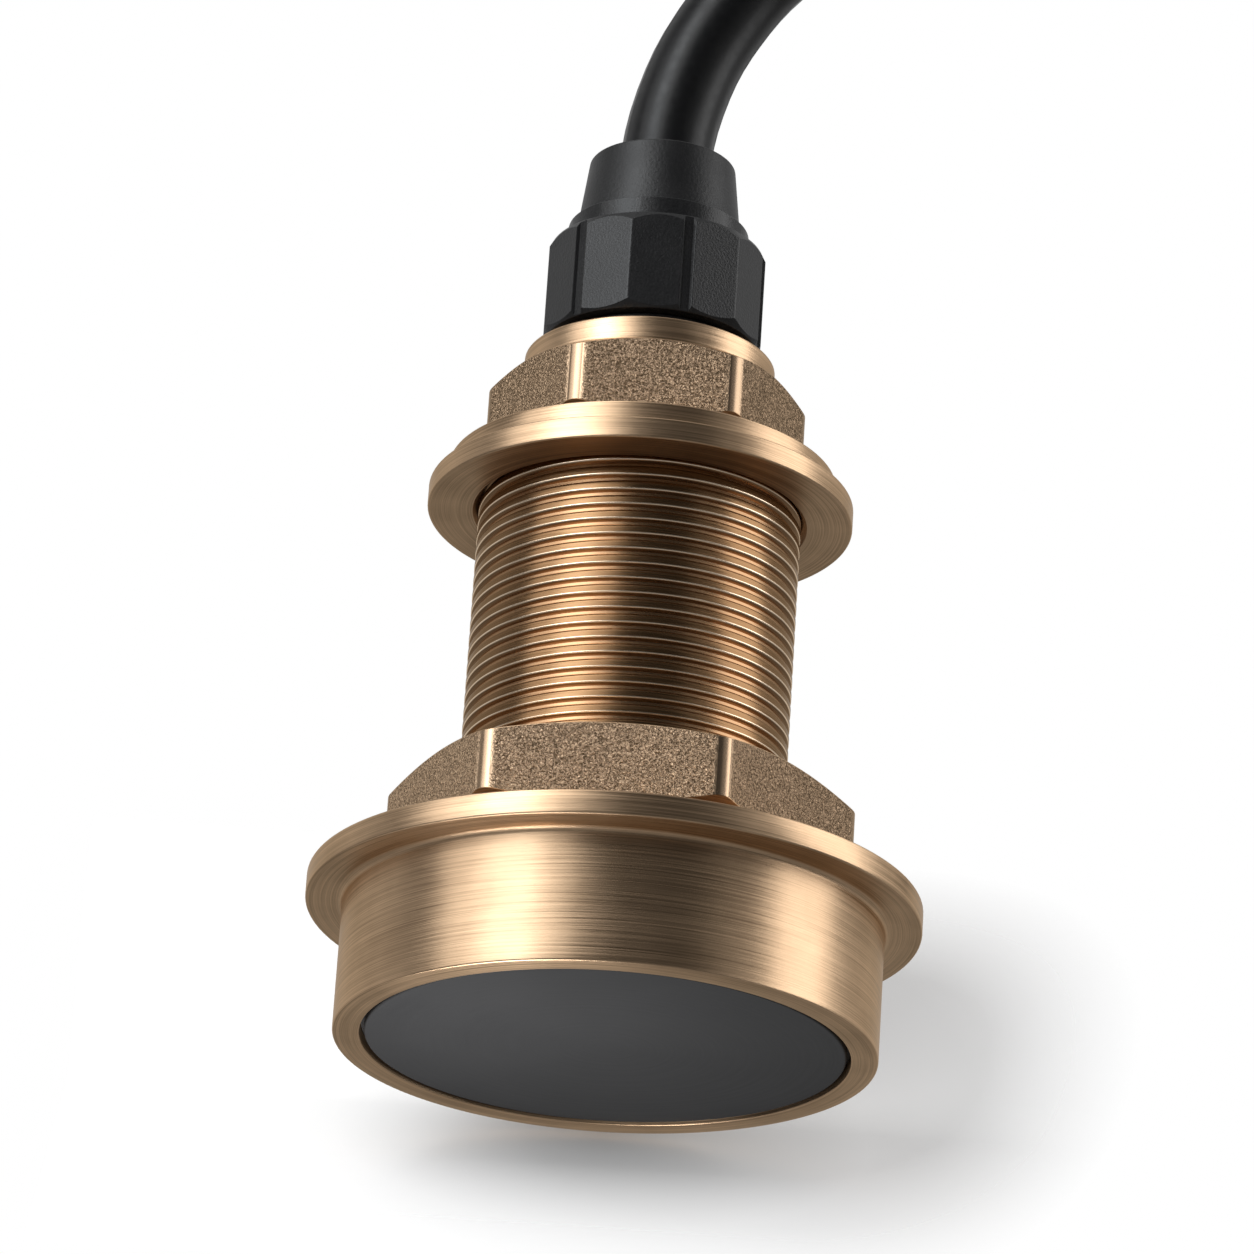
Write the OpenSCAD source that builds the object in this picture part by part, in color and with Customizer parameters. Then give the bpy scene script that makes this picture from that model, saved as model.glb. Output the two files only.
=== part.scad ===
// Bronze through-hull sonar transducer that stands on its sounding face.
// Millimetres, +Z up the stem, origin at the centre of the face end.

/* [Housing] */
// Diameter of the can round the sounding face
can_d = 78.6; // [74:0.2:84]
// Height of the can below the flange
can_h = 19.7; // [17:0.1:26]
// Diameter of the hull flange
flange_d = 89.4; // [86:0.2:100]
// Thickness of the hull flange
flange_t = 3.6; // [2.5:0.1:6]
// Major diameter of the stem thread
stem_d = 47.8; // [44:0.1:50]
// Length of the stem above the flange
stem_len = 66; // [56:0.5:110]
// Bore of the stem
stem_bore = 34; // [31:0.5:37]
// Bore of the can behind the shoulder that the window seats on
cavity_d = 68; // [62:0.2:70]
// Height of that bore's end above the rim
cavity_h = 18; // [15:0.1:19]
// Rounding of the turned edges
edge_r = 0.3; // [0.2:0.1:1]
// Fillet where the can meets the flange
cove_r = 1; // [0.4:0.1:1.6]
// Chamfer at the free end of the stem
stem_chamfer = 1.2; // [0.4:0.1:2]
// Lead-in chamfer of the bores that screw onto the stem
lead_in = 0.8; // [0.3:0.1:1.5]

/* [Sounding face] */
// Diameter of the face inside its groove
face_d = 69.4; // [66:0.2:70]
// Thickness of the acoustic window
window_t = 4.6; // [3:0.1:5]
// How far the face lies inside the rim
face_recess = 0.3; // [0.1:0.1:1]
// Depth of the groove round the face
groove_depth = 1.6; // [0.6:0.1:2]
// Width of the groove round the face
groove_w = 0.7; // [0.3:0.1:1.2]
// Diameter of the ceramic element
element_d = 50; // [40:0.5:56]
// Thickness of the ceramic element
element_t = 5; // [3:0.1:5.5]
// Wall of the cork cup round the element
cork_t = 2.6; // [1.5:0.1:3]
// How far the potting rises in the stem
potting_rise = 18; // [8:0.5:30]
// Diameter of each insulated lead
lead_d = 2; // [1:0.1:2.6]
// Distance of each lead from the axis
lead_offset = 3; // [2:0.1:4]

/* [Hull nut] */
// Across the flats of the hull nut
nut_af = 60; // [56:0.2:66]
// Height of the hull nut with its foot
nut_h = 15.8; // [10:0.1:22]
// Height of the round foot below the nut's hexagon
nut_foot = 3.6; // [0.5:0.1:5]
// How far the hexagons' corners are turned down
hex_corner_cut = 0.5; // [0.2:0.1:1]
// Width of the flat end ring left by a chamfer
hex_land = 0.4; // [0.2:0.1:1]

/* [Stepped ring] */
// Diameter of the ring's wide tier
ring_d = 63; // [60:0.2:70]
// Thickness of the wide tier
ring_t = 3.3; // [2:0.1:6]
// Diameter of the ring's upper tier
tier_d = 57.6; // [55:0.2:59]
// Thickness of the upper tier
tier_t = 3.6; // [2:0.1:6]

/* [Stem cap] */
// Across the flats of the cap's hexagon
cap_af = 41.8; // [39:0.2:44]
// Height of the cap's hexagon with its foot
cap_h = 13.7; // [10:0.1:20]
// Height of the round foot below the cap's hexagon
cap_foot = 1.2; // [0.4:0.1:3]
// Diameter of the collar above the hexagon
collar_d = 37.4; // [35:0.2:38.6]
// Height of the collar
collar_h = 4.4; // [3:0.1:8]
// Length of the cap's spigot in the stem
spigot_len = 13; // [9:0.5:20]
// Bore of the spigot
spigot_bore = 18; // [15:0.5:20]
// Section of the cap's seal ring
seal_section = 2; // [1.6:0.1:2.4]

/* [Gland] */
// Diameter of the gland's lower thread
gland_thread_d = 25; // [23:0.5:27]
// Length of the gland's lower thread
gland_thread_len = 11; // [8:0.5:14]
// Diameter of the gland body's flange
gland_flange_d = 28.8; // [28:0.2:33]
// Thickness of the gland body's flange
gland_flange_t = 2.4; // [1.6:0.1:4]
// Diameter of the gland's upper thread
gland_upper_d = 26.4; // [25:0.2:27.6]
// Length of the gland's upper thread
gland_upper_len = 11; // [9:0.5:12]
// Diameter of the gland nut over its corners
gland_nut_d = 33.6; // [32:0.2:37]
// Height of the gland nut's gripping part
gland_nut_h = 15.6; // [14:0.1:20]
// Width of the floor of each groove in the gland nut
grip_groove_w = 1.4; // [0.8:0.1:2.4]
// Depth of each groove in the gland nut
grip_groove_depth = 0.7; // [0.3:0.1:1]
// How far each side of such a groove leans out
grip_groove_flare = 0.5; // [0.1:0.1:1]
// Chamfer at the ends of the gland nut, on its radius
grip_chamfer = 0.8; // [0.6:0.1:2]
// Steepness of the gland nut's lower chamfer, its height over its width
grip_foot_slope = 1.5; // [1:0.1:3]
// Steepness of the gland nut's upper chamfer, its height over its width
grip_top_slope = 1.9; // [1:0.1:2.4]
// Diameter of the ring on top of the gland nut
top_ring_d = 27.2; // [25.6:0.1:29]
// Height of the ring on top of the gland nut
top_ring_h = 3.7; // [2:0.1:6]
// Outside diameter of the seal sleeve
sleeve_d = 20.4; // [19:0.2:21]
// Lower diameter of the strain relief
relief_base_d = 24.6; // [22:0.1:25]
// Upper diameter of the strain relief
relief_tip_d = 22; // [18:0.1:22]
// Height of the strain relief above the gland nut
relief_h = 10.8; // [8:0.1:11]

/* [Cable] */
// Diameter of the cable
cable_d = 13.8; // [12:0.1:14.4]
// Straight length of the hank's runs
hank_run = 126; // [124:1:140]
// Radius of the hank's inner fold, at the cable's middle
hank_fold_r = 41.4; // [40:0.1:46]
// Width of a hank tie
tie_w = 12; // [6:0.5:14]
// Thickness of a hank tie
tie_t = 1.4; // [0.8:0.1:2]

/* [Plug] */
// Diameter of the plug's coupling ring
coupling_d = 22.8; // [22:0.2:26]
// Length of the plug's coupling ring
coupling_len = 17; // [12:0.5:24]
// Diameter of the plug's body
plug_d = 19; // [18:0.2:20]
// Length of the plug's body behind the coupling ring
plug_len = 16; // [10:0.5:24]
// Length of the plug's bend protector
boot_len = 24; // [16:0.5:32]
// Diameter of the plug's contact insert
insert_d = 12.4; // [11:0.2:13]
// Contacts in the ring of the insert
contact_count = 6; // [4:1:8]
// Diameter of a contact's hole
contact_d = 1.8; // [1:0.1:2.2]
// Flutes round the coupling ring
flute_count = 18; // [12:1:24]

/* [Hidden] */
$fn = 96;
// Clearance of a sliding fit, on the radius
fit = 0.1;
// Least wall of the can round a bore
least_wall = 1.5;
// Slopes of the end chamfers on the nut's and the cap's hexagon
nut_slope = 20;
cap_slope = 30;
// Turn at which each of these came tight, from a flat or a groove at the front
nut_turn = -5.5;
cap_turn = 2.4;
grip_turn = 16;
// Grooves round the gland nut, between its corners
grip_count = 6;
// Steps in a rounded corner of a turned outline
round_steps = 5;
// Sides of the cable's tube
cable_sides = 12;

// Heights up the stem
flange_z = can_h;
flange_top = flange_z + flange_t;
stem_top = flange_top + stem_len;
ring_z = stem_top - ring_t - tier_t;
collar_z = stem_top + cap_h;
cap_top = collar_z + collar_h;
gland_top = cap_top + gland_flange_t + gland_upper_len;
grip_z = cap_top + gland_flange_t + fit;
grip_top = grip_z + gland_nut_h;
relief_z = grip_top + top_ring_h;
relief_top = relief_z + relief_h;

// Mouth of the can round the face, and the can and flange with a wall left round their bores
mouth_r = face_d / 2 + groove_w;
can_r = max(can_d / 2, mouth_r + least_wall, cavity_d / 2 + least_wall);
flange_r = max(flange_d / 2, can_r + cove_r + 2 * edge_r);

// Heights inside the can
window_back = face_recess + window_t;
element_back = window_back + element_t;
cork_back = element_back + cork_t;
potting_top = cavity_h + potting_rise;

// Bores that pass the cable and hold the gland's seal
cable_clear = 0.5;
cable_bore = cable_d + 2 * cable_clear;
sleeve_bore = cable_d + 2 * fit;
spigot_d = stem_bore - 2 * fit;
relief_tail_d = sleeve_d - 2.2;
sleeve_held = 7.5;
sleeve_nose = 2.6;
sleeve_z = gland_top - sleeve_held;
sleeve_top = gland_top + sleeve_nose;
seal_r = stem_bore / 2 - fit / 2 - seal_section / 2;
seal_z = stem_top - 1.2 * seal_section;

// Hank of two columns of turns, its near outer run in line with the cable that comes down
hank_layers = 5;
hank_left = 105;
hank_base = tie_t + 2 * fit;
hank_top = hank_base + hank_layers * cable_d;
hank_mid_y = hank_fold_r + cable_d;
hank_inner_r = hank_fold_r - cable_d / 2;
hank_outer_r = hank_fold_r + 1.5 * cable_d;
hank_x = hank_left + hank_outer_r;
// Height of the cable's middle in the top layer, and the room left under it where it leaves
lay_z = hank_top - cable_d / 2;
lay_clear = 0.3;
// Distance of each tie from the right end of the runs
tie_near_back = 56;
tie_far_back = 9;
// Middles of the two tied sides of the hank
tie_near = [hank_x + hank_run - tie_near_back, hank_mid_y - hank_fold_r - cable_d / 2];
tie_far = [hank_x + hank_run - tie_far_back, hank_mid_y + hank_fold_r + cable_d / 2];

// Cable's way out of the gland and over, from the top of the strain relief
rise = [
    [0, -16], [0, -4], [2, 11.5], [8, 26], [17.5, 38.5], [30, 48], [44.5, 54], [60, 56],
    [75.5, 54], [90, 48], [102.5, 38.5], [112, 26], [118, 11.5], [120, -4]
];
// Its way down onto the hank, from the middle of the top layer
fall = [
    [120, 60], [122, 44.5], [128, 30], [137.5, 17.5], [150, 8], [164.5, 2], [180, 0], [190, 0]
];
// Its end's way up off the top layer, in shares of the rise to the plug's axis
tail_rise = cable_d / 2 + coupling_d / 2 + fit;
tail = [
    [270, 0], [262, 0], [252, 0.05], [242, 0.2], [231, 0.5], [220, 0.8], [210, 0.95], [200, 1],
    [188, 1]
];
cable_start_z = sleeve_z + 0.5;
cable_route = concat(
    [[0, 0, cable_start_z]],
    [for (p = rise) [p[0], 0, relief_top + p[1]]],
    [for (p = fall) [p[0], 0, lay_z + p[1]]]
);
tail_y = hank_mid_y + hank_fold_r;
tail_route = [for (p = tail) [p[0], tail_y, lay_z + tail_rise * p[1]]];
hank_in = cable_route[len(cable_route) - 1];
tail_in = tail_route[0];
tail_end = tail_route[len(tail_route) - 1];

// Plug laid along the hank, its axis in line with the cable's end
boot_grip = 10;
boot_tip_d = cable_d + 4;
nose_d = insert_d + 2 * 1.4;
nose_end = boot_len + plug_len + coupling_len - 2;

// Colours
bronze = [0.68, 0.50, 0.27];
cast_bronze = [0.62, 0.45, 0.25];
black_plastic = [0.10, 0.10, 0.11];
black_rubber = [0.07, 0.07, 0.08];
face_grey = [0.27, 0.27, 0.28];

function unit(v) = v / norm(v);

// Corner i of an outline [x, y, radius], drawn as an arc of its radius
function rounded_corner(pts, i) =
    let (
        n = len(pts),
        p = [pts[i][0], pts[i][1]],
        q = pts[(i + n - 1) % n],
        s = pts[(i + 1) % n],
        back = unit([q[0], q[1]] - p),
        ahead = unit([s[0], s[1]] - p),
        half = acos(back * ahead) / 2,
        r = pts[i][2],
        centre = p + unit(back + ahead) * r / sin(half),
        from = p + back * r / tan(half) - centre,
        side = p + ahead * r / tan(half) - centre,
        sweep = 180 - 2 * half
    )
    [
        for (k = [0:round_steps])
            let (turn = sweep * k / round_steps)
            centre + (from * sin(sweep - turn) + side * sin(turn)) / sin(sweep)
    ];

// Outline with each corner that has a radius rounded
function rounded(pts) = [
    for (i = [0:len(pts) - 1])
        each (pts[i][2] > 0 ? rounded_corner(pts, i) : [[pts[i][0], pts[i][1]]])
];

// Solid turned from an outline of radius and height
module turned(pts) {
    rotate_extrude() polygon(rounded(pts));
}

// Hexagon on a round foot, its flats facing front and back, with its corners turned down and chamfered
module turned_hexagon(af, h, foot, slope) {
    sharp_r = af / 2 / cos(30);
    corner_r = sharp_r - hex_corner_cut;
    land_r = af / 2 - hex_land;
    drop = (corner_r - land_r) * tan(slope);
    intersection() {
        translate([0, 0, -1]) cylinder(h = h + 2, r = sharp_r, $fn = 6);
        rotate_extrude()
            polygon([
                [0, 0], [land_r, 0], [land_r, foot], [corner_r, foot + drop],
                [corner_r, h - drop], [land_r, h], [0, h]
            ]);
    }
}

// Tube of n sides swept along points that lie in one upright plane
module swept_tube(pts, d, n) {
    last = len(pts) - 1;
    rings = [
        for (i = [0:last])
            let (
                along = unit(pts[min(i + 1, last)] - pts[max(i - 1, 0)]),
                side = [0, 1, 0],
                up = cross(along, side)
            )
            for (k = [0:n - 1]) pts[i] + d / 2 * (cos(360 * k / n) * side + sin(360 * k / n) * up)
    ];
    walls = [
        for (i = [0:last - 1], k = [0:n - 1])
            let (a = i * n + k, b = i * n + (k + 1) % n)
            each [[a, b, a + n], [b, b + n, a + n]]
    ];
    polyhedron(rings, concat(
        [[for (k = [n - 1:-1:0]) k]], walls, [[for (k = [0:n - 1]) last * n + k]]
    ));
}

// Both leads, or holes round them, between two heights
module leads(z0, z1, d) {
    for (side = [-1, 1]) lead(side, z0, z1, d);
}

module lead(side, z0, z1, d) {
    translate([side * lead_offset, 0, z0]) cylinder(h = z1 - z0, d = d);
}

// Can, flange and stem cast in one piece
module transducer_housing() {
    stem_r = stem_d / 2;
    color(bronze)
        turned([
            [mouth_r, 0, edge_r / 2],
            [can_r, 0, edge_r],
            [can_r, flange_z, cove_r],
            [flange_r, flange_z, edge_r],
            [flange_r, flange_top, edge_r],
            [stem_r, flange_top, 0],
            [stem_r, stem_top - stem_chamfer, 0],
            [stem_r - stem_chamfer, stem_top, 0],
            [stem_bore / 2, stem_top, 0],
            [stem_bore / 2, cavity_h, 0],
            [cavity_d / 2, cavity_h, cove_r],
            [cavity_d / 2, window_back, 0],
            [mouth_r, window_back, 0]
        ]);
}

// Face disc on the shoulder of the can, stepped back at the groove round it
module acoustic_window() {
    seat_r = mouth_r - fit;
    color(face_grey)
        turned([
            [0, face_recess, 0],
            [face_d / 2, face_recess, edge_r],
            [face_d / 2, face_recess + groove_depth, 0],
            [seat_r, face_recess + groove_depth, 0],
            [seat_r, window_back, 0],
            [0, window_back, 0]
        ]);
}

// Ceramic disc that sends and hears the pulse
module piezo_element() {
    color("lightyellow")
        translate([0, 0, window_back]) cylinder(h = element_t, d = element_d);
}

// Cork round the sides and back of the element
module cork_cup() {
    color("peru")
        difference() {
            translate([0, 0, window_back])
                cylinder(h = cork_back - window_back, d = element_d + 2 * cork_t);
            translate([0, 0, window_back - 1])
                cylinder(h = element_t + 1, d = element_d + 2 * fit);
            leads(element_back - 1, cork_back + 1, lead_d + 2 * fit);
        }
}

// Resin that fills the can behind the window and plugs the foot of the stem
module potting() {
    color("dimgray")
        difference() {
            turned([
                [0, window_back, 0],
                [cavity_d / 2 - fit, window_back, 0],
                [cavity_d / 2 - fit, cavity_h, cove_r],
                [stem_bore / 2 - fit, cavity_h, 0],
                [stem_bore / 2 - fit, potting_top, 0],
                [0, potting_top, 0]
            ]);
            translate([0, 0, window_back - 1])
                cylinder(h = cork_back - window_back + 1, d = element_d + 2 * cork_t + 2 * fit);
            leads(cork_back - 1, potting_top + 1, lead_d + 2 * fit);
        }
}

// Leads from the back of the element to the end of the cable
module signal_lead() {
    color("white") lead(1, element_back, cable_start_z, lead_d);
}

module ground_lead() {
    color("black") lead(-1, element_back, cable_start_z, lead_d);
}

// Hexagon nut run down the stem onto the flange
module hull_nut() {
    bore_r = stem_d / 2 + fit;
    color(cast_bronze)
        translate([0, 0, flange_top])
            difference() {
                rotate(nut_turn) turned_hexagon(nut_af, nut_h, nut_foot, nut_slope);
                turned([
                    [0, -1, 0],
                    [bore_r, -1, 0],
                    [bore_r, nut_h - lead_in, 0],
                    [bore_r + lead_in + 1, nut_h + 1, 0],
                    [0, nut_h + 1, 0]
                ]);
            }
}

// Round ring of two tiers, screwed up the stem to its end
module stepped_ring() {
    bore_r = stem_d / 2 + fit;
    step_round = min(edge_r, abs(ring_d - tier_d) / 4);
    color(bronze)
        turned([
            [bore_r, ring_z + lead_in, 0],
            [bore_r + lead_in, ring_z, 0],
            [ring_d / 2, ring_z, edge_r],
            [ring_d / 2, ring_z + ring_t, step_round],
            [tier_d / 2, ring_z + ring_t, 0],
            [tier_d / 2, stem_top, edge_r],
            [bore_r, stem_top, 0]
        ]);
}

// Hexagon cap with a collar, and a grooved spigot in the bore of the stem
module stem_cap() {
    spigot_r = spigot_d / 2;
    groove_r = seal_r - seal_section / 2 - fit / 2;
    groove_half = seal_section / 2 + fit;
    thread_foot = cap_top - gland_thread_len - fit;
    color(cast_bronze)
        difference() {
            union() {
                translate([0, 0, stem_top])
                    rotate(cap_turn) turned_hexagon(cap_af, cap_h, cap_foot, cap_slope);
                turned([
                    [0, collar_z - edge_r, 0],
                    [collar_d / 2, collar_z - edge_r, 0],
                    [collar_d / 2, cap_top, edge_r],
                    [0, cap_top, 0]
                ]);
                turned([
                    [0, stem_top - spigot_len, 0],
                    [spigot_r, stem_top - spigot_len, edge_r],
                    [spigot_r, seal_z - groove_half, 0],
                    [groove_r, seal_z - groove_half, 0],
                    [groove_r, seal_z + groove_half, 0],
                    [spigot_r, seal_z + groove_half, 0],
                    [spigot_r, stem_top + edge_r, 0],
                    [0, stem_top + edge_r, 0]
                ]);
            }
            translate([0, 0, stem_top - spigot_len - 1])
                cylinder(h = spigot_len + cap_h + collar_h + 2, d = spigot_bore);
            translate([0, 0, thread_foot])
                cylinder(h = cap_top - thread_foot + 1, d = gland_thread_d + 2 * fit);
        }
}

// Rubber ring in the spigot's groove
module cap_seal_ring() {
    color(black_rubber)
        translate([0, 0, seal_z])
            rotate_extrude() translate([seal_r, 0]) circle(d = seal_section, $fn = 32);
}

// Gland body: thread into the cap, flange on its collar, upper thread with the seal's pocket
module gland_body() {
    thread_r = gland_thread_d / 2;
    upper_r = gland_upper_d / 2;
    color(black_plastic)
        difference() {
            turned([
                [0, cap_top - gland_thread_len, 0],
                [thread_r, cap_top - gland_thread_len, edge_r],
                [thread_r, cap_top, 0],
                [gland_flange_d / 2, cap_top, 0],
                [gland_flange_d / 2, cap_top + gland_flange_t, edge_r],
                [upper_r, cap_top + gland_flange_t, 0],
                [upper_r, gland_top, edge_r],
                [0, gland_top, 0]
            ]);
            translate([0, 0, cap_top - gland_thread_len - 1])
                cylinder(h = gland_thread_len + gland_flange_t + gland_upper_len + 2, d = cable_bore);
            translate([0, 0, sleeve_z])
                cylinder(h = gland_top - sleeve_z + 1, d = sleeve_d + 2 * fit);
        }
}

// Rubber sleeve that the gland nut squeezes onto the cable
module gland_seal_sleeve() {
    color(black_rubber)
        turned([
            [sleeve_bore / 2, sleeve_z, 0],
            [sleeve_d / 2, sleeve_z, 0],
            [sleeve_d / 2, gland_top, 0],
            [relief_tail_d / 2, sleeve_top, 0],
            [sleeve_bore / 2, sleeve_top, 0]
        ]);
}

// Gland nut: twelve flats, a groove at every second corner, and a round ring on top
module gland_nut() {
    corner_r = gland_nut_d / 2;
    end_r = corner_r - grip_chamfer;
    clear_r = corner_r + 2 * fit;
    groove_half = grip_groove_w / 2;
    mouth_half = groove_half + grip_groove_flare * (grip_groove_depth + 1) / grip_groove_depth;
    tail_r = relief_tail_d / 2 + fit;
    color(black_plastic)
        difference() {
            union() {
                intersection() {
                    rotate(grip_turn)
                        translate([0, 0, grip_z - 1])
                            cylinder(h = gland_nut_h + 2, r = corner_r, $fn = 12);
                    turned([
                        [0, grip_z, 0],
                        [end_r, grip_z, 0],
                        [clear_r, grip_z + grip_foot_slope * (clear_r - end_r), 0],
                        [clear_r, grip_top - grip_top_slope * (clear_r - end_r), 0],
                        [end_r, grip_top, 0],
                        [0, grip_top, 0]
                    ]);
                }
                turned([
                    [0, grip_top - edge_r, 0],
                    [top_ring_d / 2, grip_top - edge_r, 0],
                    [top_ring_d / 2, relief_z, edge_r],
                    [0, relief_z, 0]
                ]);
            }
            for (i = [0:grip_count - 1])
                rotate(grip_turn - 90 + 360 / grip_count * i)
                    translate([0, 0, grip_z - 1])
                        linear_extrude(gland_nut_h + 2)
                            polygon([
                                [corner_r - grip_groove_depth, -groove_half], [corner_r + 1, -mouth_half],
                                [corner_r + 1, mouth_half], [corner_r - grip_groove_depth, groove_half]
                            ]);
            turned([
                [0, grip_z - 1, 0],
                [gland_upper_d / 2 + fit, grip_z - 1, 0],
                [gland_upper_d / 2 + fit, gland_top + fit, 0],
                [sleeve_d / 2 + fit, gland_top + fit, 0],
                [tail_r, sleeve_top + fit, 0],
                [tail_r, relief_z + 1, 0],
                [0, relief_z + 1, 0]
            ]);
        }
}

// Tapered sleeve above the gland nut, its tail held inside the nut's ring
module strain_relief() {
    color(black_rubber)
        turned([
            [cable_bore / 2, sleeve_top + fit, 0],
            [relief_tail_d / 2, sleeve_top + fit, 0],
            [relief_tail_d / 2, relief_z, 0],
            [relief_base_d / 2, relief_z, 0],
            [relief_tip_d / 2, relief_top, edge_r],
            [cable_bore / 2, relief_top, edge_r]
        ]);
}

// Cable from the gland's seal, up and over, down to the hank
module cable() {
    color(black_rubber) swept_tube(cable_route, cable_d, cable_sides);
}

// Outline with round ends, its half width r, round the hank's middle line
module hank_outline(r) {
    translate([hank_x, hank_mid_y - r]) square([hank_run, 2 * r]);
    for (x = [hank_x, hank_x + hank_run]) translate([x, hank_mid_y]) circle(r);
}

// Outer shape of the hank, cut back where the cable comes in and where its end rises
module cable_hank() {
    bed_z = hank_top - cable_d - lay_clear;
    bed_w = cable_d + 2 * lay_clear;
    tail_clear = tail_route[len(tail_route) - 3];
    color(black_rubber)
        difference() {
            translate([0, 0, hank_base])
                linear_extrude(hank_top - hank_base)
                    difference() {
                        hank_outline(hank_outer_r);
                        hank_outline(hank_inner_r);
                    }
            translate([0, hank_in[1] - bed_w / 2, bed_z]) cube([hank_in[0], bed_w, cable_d + 1]);
            translate([tail_clear[0], tail_y - bed_w / 2, bed_z])
                cube([tail_in[0] - tail_clear[0], bed_w, cable_d + 1]);
        }
}

// Flat band round one side of the hank
module hank_tie(at) {
    band = 2 * cable_d;
    h = hank_top - hank_base;
    translate([at[0] - tie_w / 2, at[1] - band / 2, hank_base])
        difference() {
            translate([0, -tie_t - fit, -tie_t - fit])
                cube([tie_w, band + 2 * (tie_t + fit), h + 2 * (tie_t + fit)]);
            translate([-1, -fit, -fit]) cube([tie_w + 2, band + 2 * fit, h + 2 * fit]);
        }
}

module hank_ties() {
    color("dimgray")
        for (at = [tie_near, tie_far]) hank_tie(at);
}

// End of the cable, rising out of the hank to the plug
module cable_tail() {
    color(black_rubber) swept_tube(tail_route, cable_d, cable_sides);
}

// Turned plug piece, its axis along the hank, measured from the cable's end
module along_plug() {
    translate(tail_end + [boot_grip, 0, 0]) rotate([0, -90, 0]) children();
}

// Ribbed bend protector behind the plug
module plug_boot() {
    rib_pitch = 5;
    rib_depth = 0.8;
    rib_count = floor((boot_len - 8) / rib_pitch);
    color(black_rubber)
        along_plug() difference() {
            turned([
                [0, 0, 0], [boot_tip_d / 2, 0, edge_r], [plug_d / 2, boot_len, 0], [0, boot_len, 0]
            ]);
            translate([0, 0, -1]) cylinder(h = boot_grip + 1, d = cable_d + 2 * fit);
            for (i = [1:rib_count])
                translate([0, 0, rib_pitch * i])
                    rotate_extrude()
                        translate([(boot_tip_d + (plug_d - boot_tip_d) * rib_pitch * i / boot_len) / 2, 0])
                            circle(rib_depth, $fn = 24);
        }
}

// Plug body: a grip behind the coupling ring and a nose inside it
module plug_body() {
    nose_r = nose_d / 2;
    color(black_plastic)
        along_plug() difference() {
            turned([
                [0, boot_len, 0],
                [plug_d / 2, boot_len, 0],
                [plug_d / 2, boot_len + plug_len, edge_r],
                [nose_r, boot_len + plug_len, 0],
                [nose_r, nose_end, edge_r / 2],
                [0, nose_end, 0]
            ]);
            translate([0, 0, boot_len + plug_len])
                cylinder(h = coupling_len, d = insert_d + 2 * fit);
        }
}

// Fluted ring that turns on the plug's nose
module plug_coupling_ring() {
    flute_r = 1;
    back_t = 3;
    seat_r = nose_d / 2 + fit;
    thread_r = nose_d / 2 + 1.8;
    ring_start = boot_len + plug_len + fit;
    ring_end = boot_len + plug_len + coupling_len;
    color(black_plastic)
        along_plug() difference() {
            turned([
                [seat_r, ring_start, 0],
                [coupling_d / 2, ring_start, edge_r],
                [coupling_d / 2, ring_end, edge_r],
                [thread_r, ring_end, 0],
                [thread_r, ring_start + back_t, 0],
                [seat_r, ring_start + back_t, 0]
            ]);
            for (i = [0:flute_count - 1])
                rotate(360 / flute_count * (i + 0.5))
                    translate([coupling_d / 2 + flute_r / 2, 0, ring_start - 1])
                        cylinder(h = coupling_len - 3, r = flute_r, $fn = 24);
        }
}

// Insulator with its ring of contact holes
module plug_insert() {
    insert_start = boot_len + plug_len;
    insert_len = nose_end - insert_start;
    hole_ring_r = insert_d / 2 - 1.2 * contact_d;
    color("gray")
        along_plug() difference() {
            translate([0, 0, insert_start]) cylinder(h = insert_len, d = insert_d);
            for (i = [0:contact_count - 1])
                rotate(360 / contact_count * i)
                    translate([hole_ring_r, 0, insert_start + 3])
                        cylinder(h = insert_len, d = contact_d, $fn = 24);
        }
}

transducer_housing();
acoustic_window();
piezo_element();
cork_cup();
potting();
signal_lead();
ground_lead();
hull_nut();
stepped_ring();
stem_cap();
cap_seal_ring();
gland_body();
gland_seal_sleeve();
gland_nut();
strain_relief();
cable();
cable_hank();
hank_ties();
cable_tail();
plug_boot();
plug_body();
plug_coupling_ring();
plug_insert();
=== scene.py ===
"""Looks of a bronze through-hull sonar transducer that stands on its sounding face.

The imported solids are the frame. Metres, +Z up the stem, origin at the centre of the face end.
"""
import math

import bmesh
import bpy
from mathutils import Matrix, Vector


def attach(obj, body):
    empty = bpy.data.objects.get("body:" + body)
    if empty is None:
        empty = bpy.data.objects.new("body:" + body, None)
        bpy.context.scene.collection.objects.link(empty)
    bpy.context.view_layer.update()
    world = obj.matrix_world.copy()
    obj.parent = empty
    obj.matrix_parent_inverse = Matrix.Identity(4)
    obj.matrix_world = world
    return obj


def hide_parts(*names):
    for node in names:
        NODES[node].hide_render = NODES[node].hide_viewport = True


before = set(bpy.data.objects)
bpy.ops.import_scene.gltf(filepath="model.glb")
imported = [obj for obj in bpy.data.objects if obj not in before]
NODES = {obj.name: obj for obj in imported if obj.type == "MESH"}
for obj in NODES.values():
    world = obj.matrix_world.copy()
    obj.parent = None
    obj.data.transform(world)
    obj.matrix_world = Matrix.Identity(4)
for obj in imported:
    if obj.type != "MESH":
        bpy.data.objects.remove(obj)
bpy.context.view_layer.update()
MM = 0.001

# Camera, fitted to the photograph's frame
IMAGE_PX = 1254
FOCAL_PX = 6796.8
SENSOR_MM = 36.0
CAM_DISTANCE = 1.0
CAM_ELEVATION = math.radians(-21.70)
CAM_ROLL = math.radians(3.79)
CAM_TARGET = Vector((-0.84, 0, 65.47)) * MM

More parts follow.
